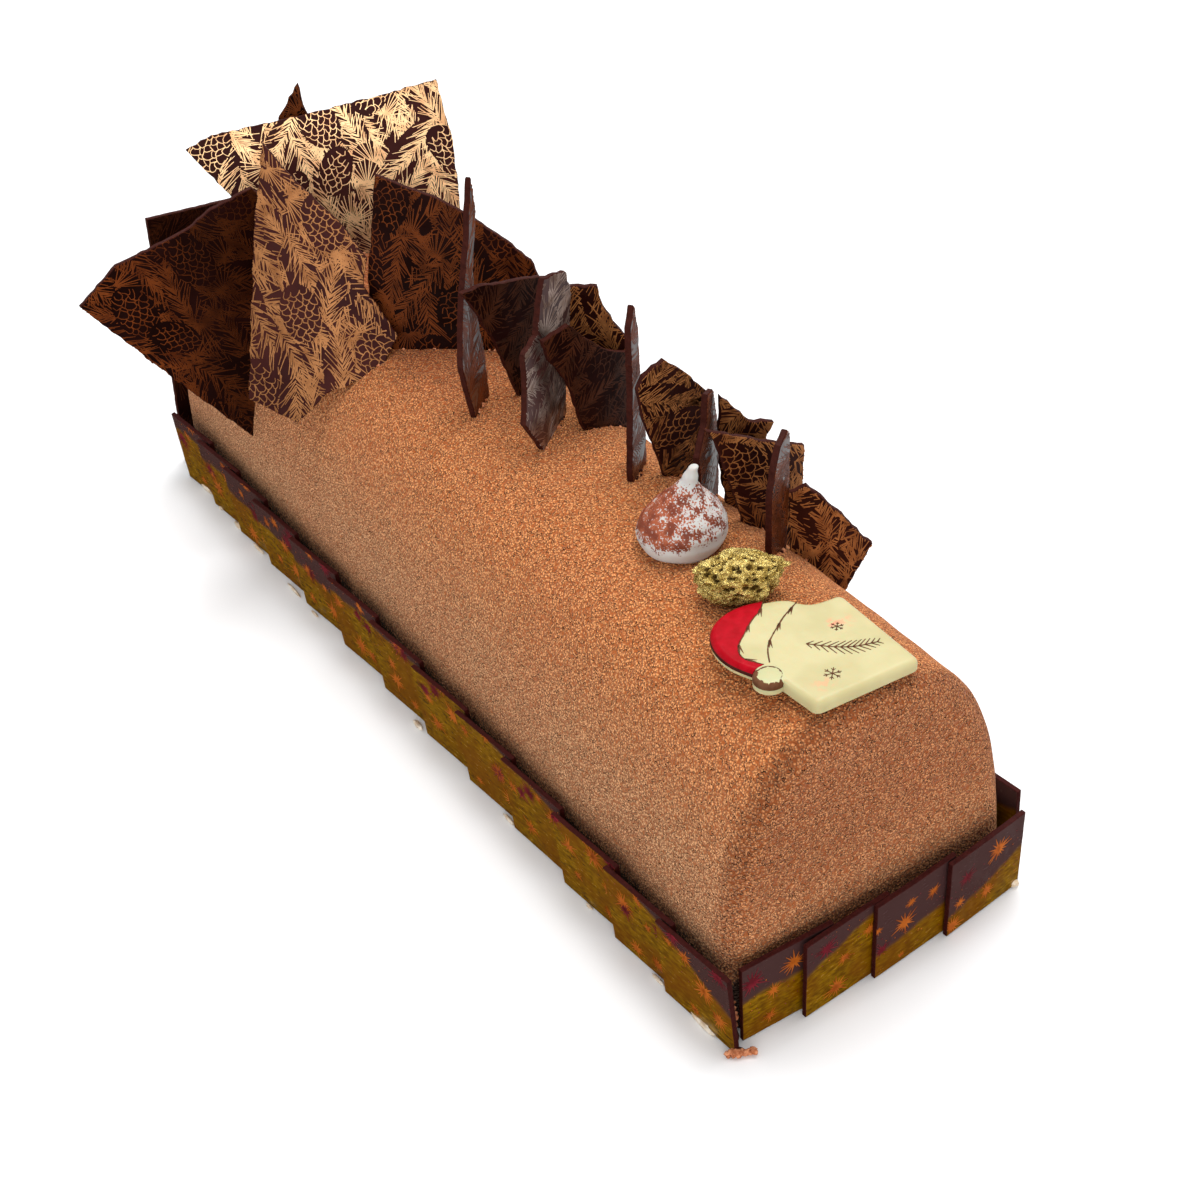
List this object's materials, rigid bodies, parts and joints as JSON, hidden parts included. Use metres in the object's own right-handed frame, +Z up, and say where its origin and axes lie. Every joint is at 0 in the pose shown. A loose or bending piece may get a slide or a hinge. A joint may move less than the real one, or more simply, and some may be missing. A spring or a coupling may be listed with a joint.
{
  "type": "yule log cake",
  "caption": "Long arched mousse log with a sprayed cocoa coat, a skirt of square chocolate panels, upright printed chocolate shards, a meringue kiss, a gilded nugget and a bare festive plaque.",
  "frame": {"origin": "middle of the log's flat underside", "axes": "+X along the log towards its open front end, +Y across it towards the side where the small shards lean, +Z up"},
  "size_m": [0.3027, 0.1192, 0.1344],
  "materials": {
    "velvet": "matte cocoa-butter spray with a fine even grain",
    "panel_chocolate": "mirror-bright dark chocolate printed with small coppery stars",
    "sheet_chocolate": "glossy dark chocolate, one face printed with coppery pine sprigs",
    "meringue": "dry satin meringue dusted with cocoa",
    "gilding": "gold lustre dust over a puffed, pitted crumb",
    "plaque_chocolate": "satin ivory chocolate with a red and brown hat"
  },
  "bodies": {
    "root": {"log": "velvet", "panel_left_01": "panel_chocolate", "panel_left_02": "panel_chocolate", "panel_left_03": "panel_chocolate", "panel_left_04": "panel_chocolate", "panel_left_05": "panel_chocolate", "panel_left_06": "panel_chocolate", "panel_left_07": "panel_chocolate", "panel_left_08": "panel_chocolate", "panel_left_09": "panel_chocolate", "panel_left_10": "panel_chocolate", "panel_left_11": "panel_chocolate", "panel_left_12": "panel_chocolate", "panel_left_13": "panel_chocolate", "panel_right_01": "panel_chocolate", "panel_right_02": "panel_chocolate", "panel_right_03": "panel_chocolate", "panel_right_04": "panel_chocolate", "panel_right_05": "panel_chocolate", "panel_right_06": "panel_chocolate", "panel_right_07": "panel_chocolate", "panel_right_08": "panel_chocolate", "panel_right_09": "panel_chocolate", "panel_right_10": "panel_chocolate", "panel_right_11": "panel_chocolate", "panel_right_12": "panel_chocolate", "panel_right_13": "panel_chocolate", "panel_front_01": "panel_chocolate", "panel_front_02": "panel_chocolate", "panel_front_03": "panel_chocolate", "panel_front_04": "panel_chocolate", "back_sheet": "sheet_chocolate", "shard_big_left": "sheet_chocolate", "shard_big_front": "sheet_chocolate", "shard_big_middle": "sheet_chocolate", "shard_big_hidden": "sheet_chocolate", "shard_big_right": "sheet_chocolate", "shard_01": "sheet_chocolate", "shard_02": "sheet_chocolate", "shard_03": "sheet_chocolate", "shard_04": "sheet_chocolate", "shard_05": "sheet_chocolate", "shard_06": "sheet_chocolate", "shard_07": "sheet_chocolate", "shard_08": "sheet_chocolate", "shard_09": "sheet_chocolate", "shard_10": "sheet_chocolate", "shard_11": "sheet_chocolate", "shard_12": "sheet_chocolate", "meringue_kiss": "meringue", "gilded_nugget": "gilding", "plaque": "plaque_chocolate"}
  },
  "joints": []
}
